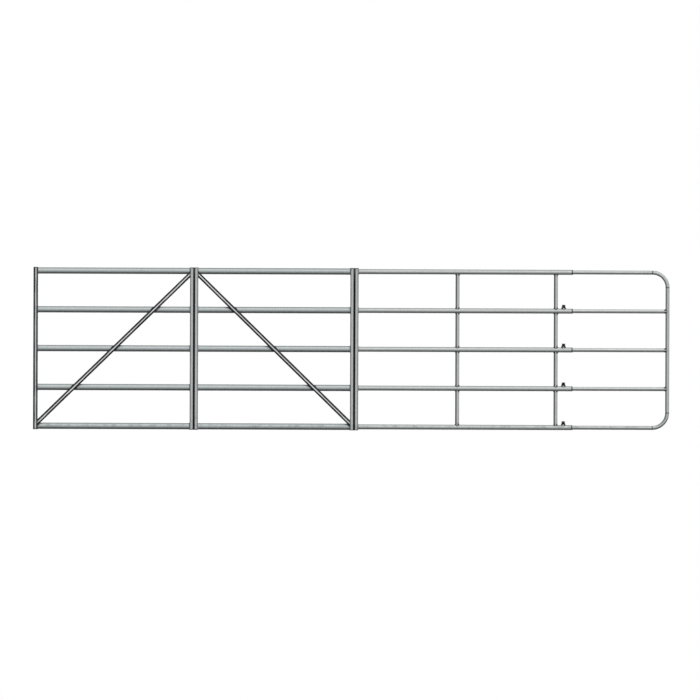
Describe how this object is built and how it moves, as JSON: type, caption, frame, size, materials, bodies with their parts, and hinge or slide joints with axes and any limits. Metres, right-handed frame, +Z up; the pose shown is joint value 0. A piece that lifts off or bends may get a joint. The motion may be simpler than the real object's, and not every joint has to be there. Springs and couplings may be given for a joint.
{
  "type": "extendable livestock panel",
  "caption": "Galvanised tube panel for penning stock: braced bays of round rails, and a bent end frame that slides out of sleeves and is locked by set screws.",
  "frame": {"origin": "on the ground under the middle of the panel's length and thickness, with the extension as pictured", "axes": "+X along the panel from the box-section end to the extension, +Y through it to the back, +Z up"},
  "size_m": [4.2614, 0.07, 1.088],
  "materials": {
    "galvanised_section": "hot-dip galvanised, dull",
    "galvanised_rail": "hot-dip galvanised, dull",
    "galvanised_brace": "hot-dip galvanised, dull",
    "galvanised_sleeve": "hot-dip galvanised, dull",
    "galvanised_stay": "hot-dip galvanised, dull",
    "galvanised_extension": "galvanised, rubbed along by the sleeves",
    "boss_steel": "turned, welded and galvanised",
    "screw_black": "black oxide, oiled"
  },
  "bodies": {
    "panel": {"left_end_upright": "galvanised_section", "centre_upright": "galvanised_section", "right_upright": "galvanised_section", "left_bay_rail_1": "galvanised_rail", "left_bay_rail_2": "galvanised_rail", "left_bay_rail_3": "galvanised_rail", "left_bay_rail_4": "galvanised_rail", "left_bay_rail_5": "galvanised_rail", "right_bay_rail_1": "galvanised_rail", "right_bay_rail_2": "galvanised_rail", "right_bay_rail_3": "galvanised_rail", "right_bay_rail_4": "galvanised_rail", "right_bay_rail_5": "galvanised_rail", "left_brace": "galvanised_brace", "right_brace": "galvanised_brace", "sleeve_1": "galvanised_sleeve", "sleeve_2": "galvanised_sleeve", "sleeve_3": "galvanised_sleeve", "sleeve_4": "galvanised_sleeve", "sleeve_5": "galvanised_sleeve", "near_stay_1": "galvanised_stay", "near_stay_2": "galvanised_stay", "near_stay_3": "galvanised_stay", "near_stay_4": "galvanised_stay", "far_stay_1": "galvanised_stay", "far_stay_2": "galvanised_stay", "far_stay_3": "galvanised_stay", "far_stay_4": "galvanised_stay", "lock_boss_2": "boss_steel", "lock_boss_3": "boss_steel", "lock_boss_4": "boss_steel", "lock_boss_5": "boss_steel"},
    "extension": {"end_frame": "galvanised_extension", "inner_rail_2": "galvanised_extension", "inner_rail_3": "galvanised_extension", "inner_rail_4": "galvanised_extension"},
    "lock_screw_2": {"lock_screw_2": "screw_black", "lock_nut_2": "screw_black"},
    "lock_screw_3": {"lock_screw_3": "screw_black", "lock_nut_3": "screw_black"},
    "lock_screw_4": {"lock_screw_4": "screw_black", "lock_nut_4": "screw_black"},
    "lock_screw_5": {"lock_screw_5": "screw_black", "lock_nut_5": "screw_black"}
  },
  "joints": [
    {"name": "extension_slide", "type": "slide", "parent": "panel", "child": "extension", "axis": [1, 0, 0], "range_m": [-0.533, 0.495]},
    {"name": "lock_screw_2_lift", "type": "slide", "parent": "panel", "child": "lock_screw_2", "axis": [0, 0, 1], "range_m": [0, 0.006]},
    {"name": "lock_screw_3_lift", "type": "slide", "parent": "panel", "child": "lock_screw_3", "axis": [0, 0, 1], "range_m": [0, 0.006]},
    {"name": "lock_screw_4_lift", "type": "slide", "parent": "panel", "child": "lock_screw_4", "axis": [0, 0, 1], "range_m": [0, 0.006]},
    {"name": "lock_screw_5_lift", "type": "slide", "parent": "panel", "child": "lock_screw_5", "axis": [0, 0, 1], "range_m": [0, 0.006]}
  ]
}
